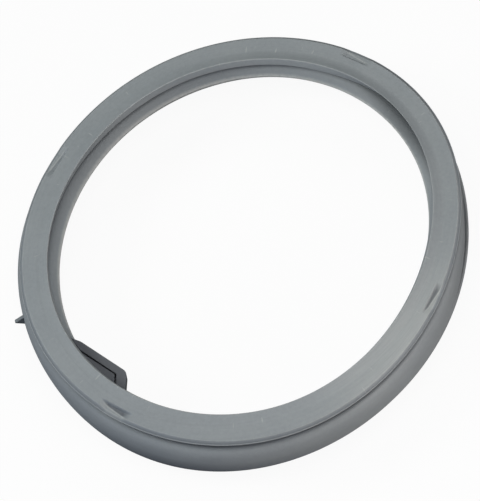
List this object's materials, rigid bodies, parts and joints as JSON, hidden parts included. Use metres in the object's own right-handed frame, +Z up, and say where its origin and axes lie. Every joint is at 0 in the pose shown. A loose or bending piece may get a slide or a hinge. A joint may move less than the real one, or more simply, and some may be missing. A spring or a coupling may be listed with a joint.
{
  "type": "washing machine door seal",
  "caption": "Round grey rubber door seal for a front-loading washing machine, with a water scoop in its throat, an alignment fin and recesses in its front face.",
  "frame": {"origin": "middle of the outline's bounding box, on the plane that the rear rim lies on", "axes": "+Z up out of the front face, square to the rear rim; +X to the right and +Y to the back, with the scoop at about 220 degrees from +X"},
  "size_m": [0.3694, 0.368, 0.055],
  "materials": {
    "rubber": "matte mid-grey moulded rubber"
  },
  "bodies": {
    "root": {"door_seal": "rubber"}
  },
  "joints": []
}
